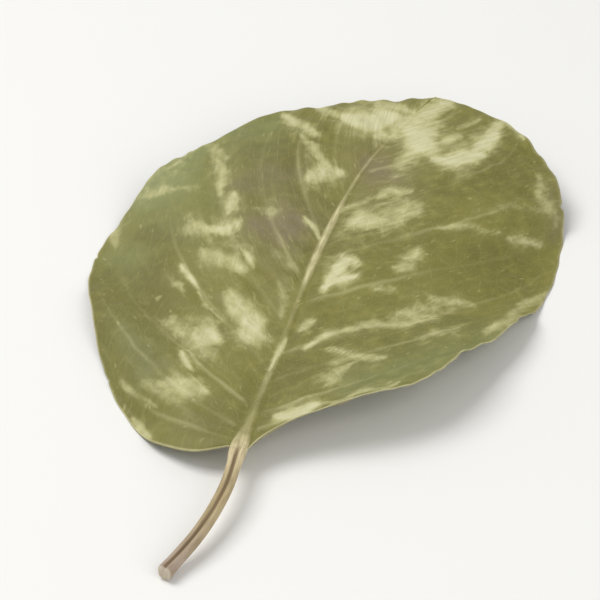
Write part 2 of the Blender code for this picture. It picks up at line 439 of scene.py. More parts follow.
def half_grid(side):
    """(vein line, place on the rib, place across the blade) for each point of one half.

    Where the halves meet they share their rows, which are the mean of both halves' own.
    """
    share = np.linspace(0, 1, BLADE_ROWS + 1)[:, None]
    shared = (crowded_rows(share, LEFT) + crowded_rows(share, RIGHT)) / 2
    way = shared + (crowded_rows(share, side) - shared) * rib_columns
    return way, rib_columns + 0 * way, blade_columns + 0 * way


print("a half of the blade has", half_grid(LEFT)[0].shape, "rows and columns")

# %% [markdown]
# ## The margin
#
# A real margin is never a clean curve. It wanders by a few tenths of a millimetre, and a dry
# one has small chips. It also gets thin: the blade, a third of a millimetre thick, is rounded
# off over its last half millimetre. Chips could be cut with a Boolean, but moving the edge
# inwards on the grid keeps the surface closed and smooth.

# %% Wander, chips and thickness of the margin
WANDER = 0.00022
CHIPS = {
    LEFT: ((0.235, 0.0007, 0.006), (0.47, 0.0005, 0.004), (0.66, 0.0006, 0.005)),
    RIGHT: ((0.36, 0.0006, 0.005), (0.445, 0.0005, 0.004), (0.71, 0.0007, 0.005)),
}
STALK_EDGE = 0.0003
BLADE_THICKNESS = 0.00034
ROUNDED_EDGE = 0.0005
THIN_EDGE = 0.3
EDGE_EASING = 0.004


def margin_inset(row, side):
    """How far the margin lies inside its smooth line: sine waves, and a bell curve a chip.

    A chip is (place along the margin, depth, half width), the first and last as shares.
    """
    along = row**MARGIN_POWER
    waves = 2 + np.sin(61 * along + side) + np.sin(137 * along + 2.6 * side)
    inset = WANDER * waves / 2
    for place, depth, half_width in CHIPS[side]:
        inset = inset + depth * np.exp(-(((along - place) / half_width) ** 2))
    return inset * swell(0.02, 0.06, along) * swell(1.0, 0.95, along)


def thickness(distance, across, to_margin):
    """Nearly even over the blade, then a quarter of an ellipse over the rounded edge.

    Within 4 mm of the stalk the edge isn't rounded off, so that it meets the stalk's side.
    """
    eased_in = np.minimum(distance / EDGE_EASING + across, 1)
    inner = STALK_EDGE + (BLADE_THICKNESS - STALK_EDGE) * eased_in
    closeness = (1 - np.clip(to_margin / ROUNDED_EDGE, 0, 1)) * swell(0.0, EDGE_EASING, distance)
    return inner * (THIN_EDGE + (1 - THIN_EDGE) * np.sqrt(1 - closeness**2))


deepest = max(depth for chips in CHIPS.values() for _, depth, _ in chips)
print("the deepest chip:", 1000 * deepest, "mm")


# %% [markdown]
# ## One half of the blade
#
# This cell brings the parts together. For a whole half of the blade at once, it works out
# the lower face, adds the thickness, and keeps what the material will need later: how close
# each place is to a vein, to the midrib or to the margin, and two distances that follow the
# veins, so that streaks and veinlets in the material can run the way they grew.

# %% Both faces of one half
VEIN_DEPTH = 0.00050
VEIN_CREST = 0.00012
QUILTING = 0.0004
RIB_FOOT = 0.04
BASE_EASING = 0.2
RIB_EDGE = 0.0003
RIM_WIDTH = 0.0007
# Where the midrib's crest is pale along its length: partly its straw colour, partly a painted
# highlight on the crest.
RIB_PALENESS = (
    (-0.001, 1.0), (0.006, 0.35), (0.012, 0.20), (0.016, 0.38), (0.024, 0.42), (0.030, 0.15),
    (0.042, 0.25), (0.047, 1.0), (0.066, 1.0), (0.073, 0.45), (0.086, 0.50), (0.094, 0.12),
    (0.1145, 0.12),
)
PALE_POWER = ((0.0, 0.0), (0.008, 3.0), (0.042, 3.0), (0.050, 1.0), (0.063, 1.0), (0.072, 3.0))


def blade_half(side):
    """Lower and upper face of one half, as rows by columns, with the traits of each place.

    The rib's crest is pale by a power of its arch: the higher the power, the finer its line.
    """
    way, on_rib, across = half_grid(side)
    row = drifted(way, across, side, on_rib)
    distance = BLADE_LENGTH * row**MIDRIB_POWER
    reach = row_line(row, 1 + 0 * row, side) - row_line(row, 0 * row, side)
    reach = np.linalg.norm(reach, axis=-1)
    inset = margin_inset(row, side) / np.maximum(reach, 1e-4)
    place = row_line(row, across * (1 - inset * across**2), side)
    place = np.where((across == 0)[..., None], on_midrib(row, side * on_rib), place)
    off_rib = swell(0, RIB_FOOT, across)
    ridge, pale = vein_ridge(way, across, side)
    quilt = QUILTING * panel_swell(way, side) * np.sin(np.pi * across)
    below, above = rib_section(distance, on_rib)
    bumps = (quilt + unevenness(place)) * swell(0, BASE_EASING, row) * off_rib
    height = blade_height(row, across, side) + bumps
    to_margin = (1 - across) * reach
    bottom = height - below - VEIN_DEPTH * ridge * off_rib
    top = height + thickness(distance, across, to_margin) + above + VEIN_CREST * ridge * off_rib
    lower, upper = (np.stack([place[..., 0], place[..., 1], z], axis=-1) for z in (bottom, top))
    half_width = eased(RIB_HALF_WIDTH, distance)
    traits = {
        "rib": swell(RIB_EDGE, 0.0, across * reach),
        "crest": eased(RIB_PALENESS, distance) * (1 - on_rib**2) ** eased(PALE_POWER, distance),
        "groove": np.exp(-((on_rib / GROOVE_HALF_WIDTH) ** 2)),
        "vein": ridge * off_rib,
        "pale_vein": pale * off_rib,
        "rim": swell(RIM_WIDTH, 0.0, to_margin),
        "along": BLADE_LENGTH * way**MIDRIB_POWER,
        "out": side * (half_width * on_rib + across * reach),
    }
    return lower, upper, traits


left, right = blade_half(LEFT), blade_half(RIGHT)
for name, half in (("left", left), ("right", right)):
    print("the", name, "half reaches", round(1000 * np.abs(half[1][..., 0]).max(), 1), "mm out")

# %% [markdown]
# ## The stalk
#
# The stalk is the rib's cross-section carried along its own curved line, square to it. Its
# far end was snapped from the twig, so it is blunt and only its edges are rounded. A bevel
# would need the end as a face of its own, so the first rows shrink by a quarter circle instead.

# %% Both faces of the stalk
STALK_CROWDING = 1.15
END_ROUNDING = 0.0005
END_SHRINK = 0.25
WRINKLE = 0.00005


def stalk_strip():
    """The cross-section at each distance, set square to the stalk's line.

    A faint wrinkle, a sine wave that winds round the stalk, is added to both faces.
    """
    share = np.linspace(0, 1, STALK_ROWS + 1)[:-1, None] ** STALK_CROWDING
    distance = -STALK_LENGTH * (1 - share)
    on_rib = np.concatenate([-rib_columns[:0:-1], rib_columns]) + 0 * share
    from_end = np.clip((distance + STALK_LENGTH) / END_ROUNDING, 0, 1)
    shrink = 1 - END_SHRINK + END_SHRINK * np.sqrt(1 - (1 - from_end) ** 2)
    half_width = eased(RIB_HALF_WIDTH, distance) * shrink
    place = across_strip(STALK, share + 0 * on_rib, half_width * on_rib)
    below, above = rib_section(distance, on_rib)
    wrinkle = WRINKLE * np.sin(9 * on_rib + 300 * distance) * np.sqrt(1 - on_rib**2)
    lower, upper = place.copy(), place.copy()
    lower[..., 2] -= (below + wrinkle) * shrink
    upper[..., 2] += (above + STALK_EDGE + wrinkle) * shrink
    same = {"rib": 1, "crest": 1, "vein": 0, "pale_vein": 0, "rim": 0, "along": distance}
    traits = {name: value + 0 * on_rib for name, value in same.items()}
    traits["groove"] = np.exp(-((on_rib / GROOVE_HALF_WIDTH) ** 2))
    traits["out"] = half_width * on_rib
    return lower, upper, traits


stalk = stalk_strip()
print("the stalk has", stalk[0].shape[0], "rows")

# %% [markdown]
# ## Lying on the table
#
# What would hang below the table is pressed flat on it, as the leaf's own weight does. Cutting
# heights off at zero would leave a sharp crease round each flat spot, so a curve that only
# comes near zero is used, and the whole leaf is then let down until it touches.

# %% Joining the halves and setting the leaf down
PRESS = 0.0010


def joined(stalk_part, left_part, right_part):
    """The blade's halves side by side, the midrib's column only once, with the stalk before."""
    blade = np.concatenate([left_part[:, :0:-1], right_part], axis=1)
    return np.concatenate([stalk_part, blade], axis=0)


lower, upper = (joined(stalk[n], left[n], right[n]) for n in (0, 1))
traits = {name: joined(stalk[2][name], left[2][name], right[2][name]) for name in stalk[2]}
lower[-1], upper[-1] = lower[-1, 0], upper[-1, 0]
lying = (lower[..., 2] + np.sqrt(lower[..., 2] ** 2 + PRESS**2)) / 2
lift = lying - lower[..., 2]
for face in (lower, upper):
    face[..., 2] += lift - lying.min()
    face += BLADE_START
print("highest place of the leaf, in mm:", round(1000 * upper[..., 2].max(), 2))

# %% [markdown]
# ## Where the leaf is rubbed, tinted and painted with sheen
#
# On top the pale smears are partly waxy skin rubbed pale and partly painted sheen, highlights
# laid into the colour, most of all near the tip and along the veins. A brownish tint has come up
# left of the midrib. Some parts are deeper in colour, and some are lighter green, partly as
# painted sheen.
# Such marks could be painted as an image, but it would only fit one mesh. Here each mark is a
# soft stroke between two points. They were placed over a photograph of the leaf, so the
# ends are counted in its pixels, and a function says at which pixel each place was seen. Small
# strong strokes come first, and broad weak ones round them at the end.

# %% Seen as in the photograph
SEEN_TURN, SEEN_ABOVE = np.radians(18.4), np.radians(40)
SEEN_DISTANCE = 0.6
PIXEL = 0.000459
JOINT_SEEN = (136.2, 288.4)
JOINT = BLADE_START + STALK[-1]
to_right = np.array([np.cos(SEEN_TURN), np.sin(SEEN_TURN), 0])
ahead = np.array([-np.sin(SEEN_TURN), np.cos(SEEN_TURN), 0]) * np.cos(SEEN_ABOVE)
ahead[2] = -np.sin(SEEN_ABOVE)
upwards = np.cross(to_right, ahead)


def as_seen(place):
    """(x, y) in pixels from the joint's: the steps right and down, made smaller with distance."""
    step = place - JOINT
    scale = SEEN_DISTANCE / (SEEN_DISTANCE + step @ ahead) / PIXEL
    return JOINT_SEEN[0] + step @ to_right * scale, JOINT_SEEN[1] - step @ upwards * scale


tip_seen = as_seen(upper[-1, 0])
print("the tip was seen at pixel", [round(float(value)) for value in tip_seen])

# %% Soft strokes on the upper face
# Pale strokes: partly rubbed wax, partly painted sheen and highlights.
SCUFF_AND_SHEEN_STROKES = (
    # x and y of one end, x and y of the other, half width, strength
    (178, 163, 200, 163, 4.4, 1.25),
    (169, 158, 176, 163, 2.0, 0.75),
    (190, 158, 206, 160, 2.5, 0.8),
    (200, 166, 219, 157, 4.0, 0.95),
    (203, 168, 212, 174, 8.5, 1.15),
    (213, 179, 231, 178, 3.0, 1.2),
    (228, 176, 237, 168, 3.2, 1.1),
    (191, 169, 204, 168, 3.6, 0.75),
    (215, 172, 224, 171, 2.4, 0.75),
    (234, 168, 241, 165, 2.0, 0.85),
    (241, 166, 247, 172, 1.5, 0.7),
    (222, 168, 231, 163, 1.5, 0.5),
    (156, 162, 167, 168, 2.8, 0.85),
    (160, 168, 167, 176, 1.8, 0.6),
    (166, 172, 172, 181, 2.4, 0.8),
    (164, 185, 176, 183, 4.2, 0.85),
    (190, 193, 203, 190, 2.6, 0.65),
    (180, 203, 190, 201, 5.2, 0.9),
    (188, 203, 207, 198, 5.0, 0.68),
    (176, 199, 187, 193, 2.0, 0.5),
    (212, 204, 238, 207, 1.6, 0.45),
    (228, 198, 258, 198, 2.2, 0.38),
    (240, 209, 254, 213, 1.7, 0.65),
    (163, 201, 168, 209, 1.4, 0.85),
    (125, 204, 137, 203, 2.5, 1.0),
    (117, 205, 126, 204, 3.2, 0.75),
    (133, 198, 137, 192, 2.4, 0.9),
    (126, 172, 133, 176, 3.4, 0.6),
    (130, 178, 131, 191, 3.2, 0.7),
    (100, 191, 113, 189, 1.8, 0.62),
    (114, 188, 122, 187, 1.3, 0.6),
    (88, 197, 91, 209, 3.2, 0.62),
    (96, 190, 118, 173, 10.0, 0.36),
    (109, 182, 124, 172, 1.1, 0.55),
    (143, 196, 155, 198, 3.0, 0.42),
    (139, 212, 142, 218, 1.5, 0.85),
    (124, 214, 138, 219, 4.4, 0.68),
    (116, 218, 120, 226, 1.5, 0.95),
    (121, 228, 129, 238, 1.1, 0.6),
    (112, 224, 115, 229, 2.5, 0.5),
    (150, 213, 158, 219, 3.0, 0.4),
    (120, 245, 128, 247, 5.4, 1.02),
    (113, 242, 124, 252, 5.0, 0.55),
    (134, 231, 139, 240, 4.6, 0.85),
    (139, 239, 145, 246, 5.4, 1.02),
    (114, 251, 119, 258, 1.7, 1.0),
    (108, 263, 123, 267, 5.0, 0.72),
    (95, 276, 103, 283, 2.0, 0.7),
    (91, 262, 104, 273, 1.6, 0.5),
    (153, 226, 154, 238, 3.0, 0.42),
    (149, 258, 154, 247, 1.3, 0.85),
    (170, 227, 178, 216, 2.4, 1.35),
    (177, 215, 182, 218, 2.4, 0.95),
    (172, 226, 183, 223, 2.2, 1.2),
    (199, 221, 207, 214, 3.4, 0.68),
    (189, 227, 196, 229, 2.2, 0.5),
    (199, 237, 211, 240, 2.4, 0.65),
    (210, 231, 226, 236, 2.4, 0.55),
    (162, 250, 178, 243, 1.6, 0.85),
    (178, 243, 210, 241, 2.0, 0.6),
    (160, 243, 165, 241, 1.9, 0.8),
    (172, 252, 192, 255, 1.8, 0.7),
    (170, 264, 178, 258, 2.8, 0.62),
    (151, 277, 167, 273, 2.6, 1.2),
    (166, 273, 198, 264, 1.1, 0.6),
    (232, 246, 256, 230, 2.6, 0.6),
    (111, 240, 128, 250, 7.5, 0.52),
    (135, 231, 144, 246, 7.5, 0.55),
    (101, 264, 121, 268, 5.5, 0.50),
    (180, 204, 206, 196, 8.5, 0.48),
    (181, 161, 206, 168, 8.0, 0.55),
    (166, 178, 172, 190, 5.0, 0.40),
    (120, 204, 140, 212, 7.0, 0.40),
    (172, 224, 181, 219, 5.5, 0.45),
    (166, 262, 182, 254, 5.5, 0.40),
    (196, 239, 220, 234, 5.0, 0.44),
    (206, 248, 222, 243, 3.5, 0.40),
    (252, 186, 259, 204, 3.5, 0.48),
)
TINTS = (
    (144, 203, 161, 203, 9.0, 1.0),
    (186, 180, 197, 185, 7.5, 0.9),
    (136, 188, 160, 182, 6.0, 0.7),
    (98, 181, 104, 178, 5.0, 0.5),
    (258, 190, 259, 210, 2.5, 0.5),
)
DEEPS = (
    (99, 254, 106, 222, 14.0, 1.2),
    (118, 279, 134, 276, 9.0, 0.9),
    (101, 207, 112, 204, 6.0, 0.9),
    (148, 172, 160, 182, 6.0, 0.8),
    (212, 223, 238, 216, 6.0, 0.35),
    (152, 259, 166, 256, 3.5, 0.8),
    (232, 174, 247, 186, 4.0, 0.5),
)
# Lighter green strokes: partly greener skin, partly painted sheen, most of all the broad second
# one.
GREENS = (
    (88, 216, 99, 213, 7.0, 0.5),
    (97, 192, 122, 172, 13.0, 1.0),
    (132, 168, 152, 164, 8.0, 0.6),
    (178, 266, 236, 248, 6.0, 0.55),
    (103, 262, 92, 240, 6.0, 0.35),
)
HALO, HALO_SPREAD = 0.50, 2.1
MIDDLE_WIDTH, END_WIDTH = 1.15, 0.60


def strokes(table, place):
    """The strongest of the strokes at each place: a bell curve of the distance to each one.

    A stroke is widest in its middle. Round it lies a halo, a weaker bell that reaches further.
    Slow sine waves first push the places about by up to a pixel, so that no stroke is straight.
    """
    x, y = as_seen(place)
    x, y = x + 0.9 * np.sin(0.33 * y + 0.15 * x), y + 0.8 * np.sin(0.30 * x - 0.20 * y)
    found = np.zeros_like(x)
    for x0, y0, x1, y1, half_width, strength in table:
        length = np.hypot(x1 - x0, y1 - y0)
        ahead_x, ahead_y = (x1 - x0) / length, (y1 - y0) / length
        reached = np.clip((x - x0) * ahead_x + (y - y0) * ahead_y, 0, length)
        gap = np.hypot(x - x0 - reached * ahead_x, y - y0 - reached * ahead_y)
        from_middle = (2 * reached / length - 1) ** 2
        gap = gap / half_width / (MIDDLE_WIDTH + (END_WIDTH - MIDDLE_WIDTH) * from_middle)
        bell = np.maximum(np.exp(-(gap**2)), HALO * np.exp(-((gap / HALO_SPREAD) ** 2)))
        found = np.maximum(found, strength * bell)
    return found


for name, table in (("scuff_and_sheen", SCUFF_AND_SHEEN_STROKES), ("tint", TINTS), ("green", GREENS), ("deep", DEEPS)):
    traits[name] = strokes(table, upper)
print("share of the leaf that is scuffed:", round(float((traits["scuff_and_sheen"] > 0.5).mean()), 2))

# %% [markdown]
# ## From two faces to one closed skin
#
# The upper and the lower face are now two grids of points. A Solidify modifier could have made
# the second face from the first, but it can't know that veins stand out more below. So both
# grids go into one mesh, with a narrow wall along the margin and a cap on the stalk's end.
# Where the grid's columns fall together, on the stalk and at the tip, doubles are merged. Scuffs
# with their painted sheen, tints and the channel are on the upper face only, so some traits get a
# value of their own below.

# %% The mesh and its named values
below = np.arange(lower[..., 0].size).reshape(lower.shape[:2])
above = below + below.size


def quads(a, b, c, d):
    """One four-cornered face for each place of four arrays of corner numbers."""
    return np.stack([a, b, c, d], axis=-1).reshape(-1, 4)


skin = np.concatenate(
    [
        quads(above[:-1, :-1], above[:-1, 1:], above[1:, 1:], above[1:, :-1]),
        quads(below[:-1, 1:], below[:-1, :-1], below[1:, :-1], below[1:, 1:]),
        quads(below[:-1, 0], above[:-1, 0], above[1:, 0], below[1:, 0]),
        quads(above[:-1, -1], below[:-1, -1], below[1:, -1], above[1:, -1]),
        quads(below[0, :-1], below[0, 1:], above[0, 1:], above[0, :-1]),
    ]
)
places = np.concatenate([lower.reshape(-1, 3), upper.reshape(-1, 3)])
data = bpy.data.meshes.new("dried_leaf_skin")
data.from_pydata(places, [], skin.tolist())
traits["underside"] = np.zeros_like(traits["rib"])
SET_BELOW = {"underside": 1, "crest": 1, "groove": 0, "scuff_and_sheen": 0, "tint": 0, "green": 0, "deep": 0}
for name, values in traits.items():
    below_values = np.full_like(values, SET_BELOW[name]) if name in SET_BELOW else values
    both = np.concatenate([below_values.ravel(), values.ravel()]).astype(np.float32)
    data.attributes.new(name, "FLOAT", "POINT").data.foreach_set("value", both)
print("faces before merging:", len(data.polygons))

# %% Closing the skin
MERGE = 0.0000015
closer = bmesh.new()
closer.from_mesh(data)
bmesh.ops.remove_doubles(closer, verts=closer.verts, dist=MERGE)
bmesh.ops.dissolve_degenerate(closer, edges=closer.edges, dist=MERGE)
bmesh.ops.recalc_face_normals(closer, faces=closer.faces)
open_edges = sum(not edge.is_manifold for edge in closer.edges)
closer.to_mesh(data)
closer.free()
data.shade_smooth()
leaf = bpy.data.objects.new("dried_leaf", data)
bpy.context.scene.collection.objects.link(leaf)
triangles = sum(len(face.vertices) - 2 for face in data.polygons)
print(triangles, "triangles,", open_edges, "open edges")

# %% [markdown]
# ## Colours and nodes
#
# A material is a network of nodes. Two small helpers keep it readable: one turns a colour as
# painters give it, in sRGB hex, into the linear values that light is reckoned in, and the
# other adds a node with its settings and links in one line. Settings that many nodes share
# have a name. Pattern sizes are given in millimetres. Object coordinates are metres, so a
# pattern of 12 mm has a scale of 1000 / 12.


# %% Helpers for materials
def linear(hex_colour):
    """sRGB to linear: a straight line near black, and a power curve above it."""
    channels = np.array([int(hex_colour[n : n + 2], 16) for n in (1, 3, 5)]) / 255
    curve = ((channels + 0.055) / 1.055) ** 2.4
    return (*np.where(channels <= 0.04045, channels / 12.92, curve), 1.0)


def add_node(tree, kind, inputs=None, output=0, **settings):
    """Adds a node and gives one of its outputs. Each input is a value or another's output."""
    made = tree.nodes.new(kind)
    for name, value in settings.items():
        setattr(made, name, value)
    for socket, value in (inputs or {}).items():
        if isinstance(value, bpy.types.NodeSocket):
            tree.links.new(value, made.inputs[socket])
        else:
            made.inputs[socket].default_value = value
    return made.outputs[output]


MM = 1000.0
MIX = {"output": 2, "data_type": "RGBA"}
TIMES = {"operation": "MULTIPLY"}
TIMES_PLUS = {"operation": "MULTIPLY_ADD"}
STRAIGHT = {"interpolation_type": "LINEAR"}
SMOOTH = {"interpolation_type": "SMOOTHSTEP"}
CELL_WALLS = {"output": "Distance", "feature": "DISTANCE_TO_EDGE", "voronoi_dimensions": "2D"}
print("mid grey is", round(float(linear("#808080")[0]), 3), "in linear values")

# %% [markdown]
# ## The leaf's skin
#
# A dried avocado leaf is leathery, with a waxy skin that has lost most of its gloss: satin on
# top and matt below. Its IOR is that of plant wax, near 1.45. The material could be one for
# the blade and one for the stalk, but on the real leaf they run into each other, so one
# material mixes them by the traits kept above.

# %% A material and what it reads
leaf_skin = bpy.data.materials.new("dried_avocado_leaf_skin")
leaf_skin.use_nodes = True
tree = leaf_skin.node_tree
surface = tree.nodes["Principled BSDF"]
on_leaf = add_node(tree, "ShaderNodeTexCoord", output="Object")
trait = {}
for name in traits:
    trait[name] = add_node(tree, "ShaderNodeAttribute", output="Fac", attribute_name=name)
vein_way = {"X": trait["out"], "Y": trait["along"]}
vein_way = {0: add_node(tree, "ShaderNodeCombineXYZ", vein_way), 1: (MM, MM, MM)}
vein_way = add_node(tree, "ShaderNodeVectorMath", vein_way, **TIMES)
print("the material reads", len(trait), "traits")

# %% [markdown]
# ## The net of veinlets
#
# Between the side veins of a real leaf runs a ladder of finer veins, and between these a net
# with meshes of about a millimetre. Voronoi cells have just such walls: the distance to the
# nearest wall of a cell is near zero along a net of lines. The ladder's cells are stretched
# square to the veins. Both nets are bent a little by noise, because straight walls look like
# cracked glass. The finest real meshes, 0.4 mm, are too small to show and are left out.

# %% Ladder and net
BEND_MM = 2.4
NETS = {
    # name: (mesh out from the midrib and along it in mm, randomness)
    "ladder": (3.4, 5.5, 0.85),
    "net": (1.15, 1.15, 0.95),
}
bend = {"Vector": vein_way, "Scale": 0.35, "Detail": 2.0}
bend = add_node(tree, "ShaderNodeTexNoise", bend, output="Color")
bent_way = {0: bend, 1: (BEND_MM, BEND_MM, 0.0), 2: vein_way}
bent_way = add_node(tree, "ShaderNodeVectorMath", bent_way, **TIMES_PLUS)
to_wall = {}
for name, (mesh_out, mesh_along, randomness) in NETS.items():
    way = {0: bent_way, 1: (1 / mesh_out, 1 / mesh_along, 1.0)}
    way = add_node(tree, "ShaderNodeVectorMath", way, **TIMES)
    cells = {"Vector": way, "Scale": 1.0, "Randomness": randomness}
    to_wall[name] = add_node(tree, "ShaderNodeTexVoronoi", cells, **CELL_WALLS)
print("meshes in mm:", {name: sizes[:2] for name, sizes in NETS.items()})

# %% [markdown]
# ## Noise
#
# No part of the skin is even. Blotches, mottle and grain lie anywhere, and worn streaks, flecks
# and the stalk's fibres are drawn out the way they grew. A scanned skin would have seams and
# light of its own. Noise has neither, and it can be stretched along the veins.

# %% Even and drawn-out noise
EVEN = ((16, 3.0), (2.4, 4.0), (0.9, 3.0))
DRAWN_OUT = (
    # way it follows, size out from the midrib and along it in mm, detail
    (bent_way, 6.0, 1.3, 4.0),
    (bent_way, 2.4, 0.9, 2.0),
    (vein_way, 0.35, 4.0, 3.0),
)
noises = []
for size, detail in EVEN:
    noise = {"Vector": on_leaf, "Scale": MM / size, "Detail": detail}
    noises.append(add_node(tree, "ShaderNodeTexNoise", noise))
for way, size_out, size_along, detail in DRAWN_OUT:
    way = {0: way, 1: (1 / size_out, 1 / size_along, 1.0)}
    way = add_node(tree, "ShaderNodeVectorMath", way, **TIMES)
    noise = {"Vector": way, "Scale": 1.0, "Detail": detail}
    noises.append(add_node(tree, "ShaderNodeTexNoise", noise))
blotches, mottle, grain, streaks, flecks, fibres = noises
print("blotches, mottle and grain are", [size for size, detail in EVEN], "mm large")

# %% [markdown]
# ## Where each pattern shows
#
# The pale streaks are partly waxy skin rubbed pale and dull, and partly painted sheen. A soft
# mark with a plain edge would look airbrushed. So each stroke is added to three noises, and only
# what rises above a threshold turns pale. A strong stroke comes out pale with a streaky edge, and
# a broad weak one only half pale and in patches. What rises above a higher threshold is brighter
# still, a painted highlight.
#
# The table says between which values each pattern comes in. Its last six rows are for the ribs,
# four of them in metres along the stalk. Color Ramp nodes could do the same, but a Map Range
# node shows its numbers at a glance.

# %% Masks from thresholds
BREAKING = ((streaks, 0.45), (mottle, 0.55), (grain, 0.2))
broken = trait["scuff_and_sheen"]
for noise, share in BREAKING:
    broken = add_node(tree, "ShaderNodeMath", {0: noise, 1: share, 2: broken}, **TIMES_PLUS)
THRESHOLDS = {
    # name: (what it reads, where it begins, where it is full, value before, value after, rise)
    "ladder": (to_wall["ladder"], 0.0, 0.07, 1.0, 0.0, SMOOTH),
    "net": (to_wall["net"], 0.0, 0.16, 1.0, 0.0, SMOOTH),
    "deep": (blotches, 0.40, 0.62, 0.0, 1.0, STRAIGHT),
    "yellow": (mottle, 0.45, 0.75, 0.0, 1.0, STRAIGHT),
    "faint": (streaks, 0.52, 0.80, 0.0, 0.18, STRAIGHT),
    "flecks": (flecks, 0.63, 0.76, 0.0, 0.55, SMOOTH),
    # Next three rows: pale strokes as rubbed wax and painted sheen, the brightest as painted
    # highlight.
    "haze": (trait["scuff_and_sheen"], 0.02, 0.45, 0.0, 0.32, STRAIGHT),
    "pale_scuff_and_sheen": (broken, 0.80, 1.40, 0.0, 1.0, SMOOTH),
    "bright": (broken, 1.24, 1.74, 0.0, 1.0, SMOOTH),
    "uneven": (streaks, 0.32, 0.66, 0.40, 1.0, STRAIGHT),
    "worn": (mottle, 0.36, 0.52, 0.72, 1.0, STRAIGHT),
    "fibres": (fibres, 0.44, 0.70, 0.0, 0.55, STRAIGHT),
    "stalk": (trait["along"], 0.006, -0.004, 0.0, 1.0, SMOOTH),
    # Painted shade: the stalk darker away from the blade.
    "stalk_shade": (trait["along"], -0.002, -0.011, 0.0, 1.0, SMOOTH),
    "far_end": (trait["along"], -0.016, -0.034, 0.0, 1.0, SMOOTH),
    "snapped": (trait["along"], -0.0334, -0.0339, 0.0, 0.65, SMOOTH),
}
mask = {}
for name, (read, start, full, before, after, rise) in THRESHOLDS.items():
    ends = {"Value": read, "From Min": start, "From Max": full, "To Min": before, "To Max": after}
    mask[name] = add_node(tree, "ShaderNodeMapRange", ends, **rise)
print("masks:", ", ".join(mask))

# %% [markdown]
# ## Painting in layers
#
# The blade is painted as a painter would do it, first a mottled olive and then layer on layer.
# Each layer is a Mix node that lays one colour over what is there, as far as its mask says,
# times a strength that is a number or a pattern too. The list reads from the bottom layer to
# the top one. A loop adds them, so a layer can be moved or changed in one place.

# %% The layers of the blade
OLIVE = "#7a7636"
# Painted highlights on the veins inside the pale strokes.
lines = {0: mask["ladder"], 1: trait["vein"]}
lines = add_node(tree, "ShaderNodeMath", lines, operation="MAXIMUM")
lines = add_node(tree, "ShaderNodeMath", {0: lines, 1: mask["pale_scuff_and_sheen"]}, **TIMES)
patchy = add_node(tree, "ShaderNodeMath", {0: mottle, 1: 0.8, 2: 0.44}, **TIMES_PLUS)
tinted = add_node(tree, "ShaderNodeMath", {0: mottle, 1: 0.9, 2: 0.30}, **TIMES_PLUS)
# The pale rim along the margin is partly a paler dried edge and partly a painted highlight on the
# rounded edge.
dry_rim_and_highlight = add_node(tree, "ShaderNodeMath", {0: blotches, 1: 1.6, 2: -0.55}, **TIMES_PLUS)
dry_rim_and_highlight = add_node(tree, "ShaderNodeMath", {0: mottle, 1: 0.8, 2: dry_rim_and_highlight}, **TIMES_PLUS)
LAYERS = (
    # mask or trait, strength, colour
    (mask["deep"], 1.0, "#6f6b30"),
    (mask["yellow"], 1.0, "#837e3b"),
    (trait["tint"], tinted, "#7e7159"),
    (trait["deep"], 0.60, "#69642e"),
    # Lighter green, partly painted sheen.
    (trait["green"], 0.62, "#8b9666"),
    (mask["net"], 0.09, "#9c9658"),
    (mask["ladder"], 0.13, "#a19b5f"),
    (mask["faint"], 1.0, "#aaa56a"),
    (mask["flecks"], 1.0, "#b0ab73"),
    (trait["pale_vein"], 0.6, "#c2bc88"),
    # Next four layers: the pale strokes, partly rubbed wax and partly painted sheen, with painted
    # highlights where brightest and on the veins.
    (mask["haze"], streaks, "#b3ae74"),
    (mask["pale_scuff_and_sheen"], patchy, "#bcb882"),
    (mask["bright"], mask["uneven"], "#d2cea4"),
    (lines, 0.25, "#ded9ad"),
    # Pale rim: partly dried edge, partly painted highlight.
    (trait["rim"], dry_rim_and_highlight, "#d3cb9b"),
    (trait["underside"], 0.8, "#9d9c78"),
)
paint = linear(OLIVE)
for pattern, strength, colour in LAYERS:
    shown = add_node(tree, "ShaderNodeMath", {0: pattern, 1: strength}, **TIMES)
    paint = add_node(tree, "ShaderNodeMix", {0: shown, 6: paint, 7: linear(colour)}, **MIX)
print(len(LAYERS), "layers over the olive")

# %% [markdown]
# ## Veins below, and the colour of the ribs
#
# Below, the veins are light brown and stand out from the pale, dull blade. The midrib and the
# stalk are straw-coloured. On the blade the straw is worn, so the olive shows through in
# places. Away from the blade the stalk is darker, which is painted shade, with dark fibres
# along it and a brown channel. Its far end has dried to a pinkish grey, and is pale where it was
# snapped off the twig. Painting all this by hand would need an image, so here too a list of
# layers does it.

# %% Ribs and stalk
MIDRIB_STRAW, VEIN_BROWN = "#cfc796", "#a8925f"
in_channel = add_node(tree, "ShaderNodeMath", {0: trait["groove"], 1: mask["stalk"]}, **TIMES)
in_channel = {"Value": in_channel, "From Min": 0.35, "From Max": 0.95, "To Max": 0.9}
in_channel = add_node(tree, "ShaderNodeMapRange", in_channel, **SMOOTH)
STRAW_LAYERS = (
    (mask["stalk"], "#d9c9a0"),
    # Painted shade, darker away from the blade.
    (mask["stalk_shade"], "#b7a57d"),
    (mask["far_end"], "#ac9988"),
    (mask["fibres"], "#86734f"),
    (in_channel, "#6f5a3d"),
    (mask["snapped"], "#d8cdb6"),
)
straw = linear(MIDRIB_STRAW)
for shown, colour in STRAW_LAYERS:
    straw = add_node(tree, "ShaderNodeMix", {0: shown, 6: straw, 7: linear(colour)}, **MIX)
worn = {0: mask["worn"], 1: mask["stalk"]}
rib_part = add_node(tree, "ShaderNodeMath", worn, operation="MAXIMUM")
for part in (trait["rib"], trait["crest"]):
    rib_part = add_node(tree, "ShaderNodeMath", {0: rib_part, 1: part}, **TIMES)
vein_below = add_node(tree, "ShaderNodeMath", {0: trait["vein"], 1: trait["underside"]}, **TIMES)
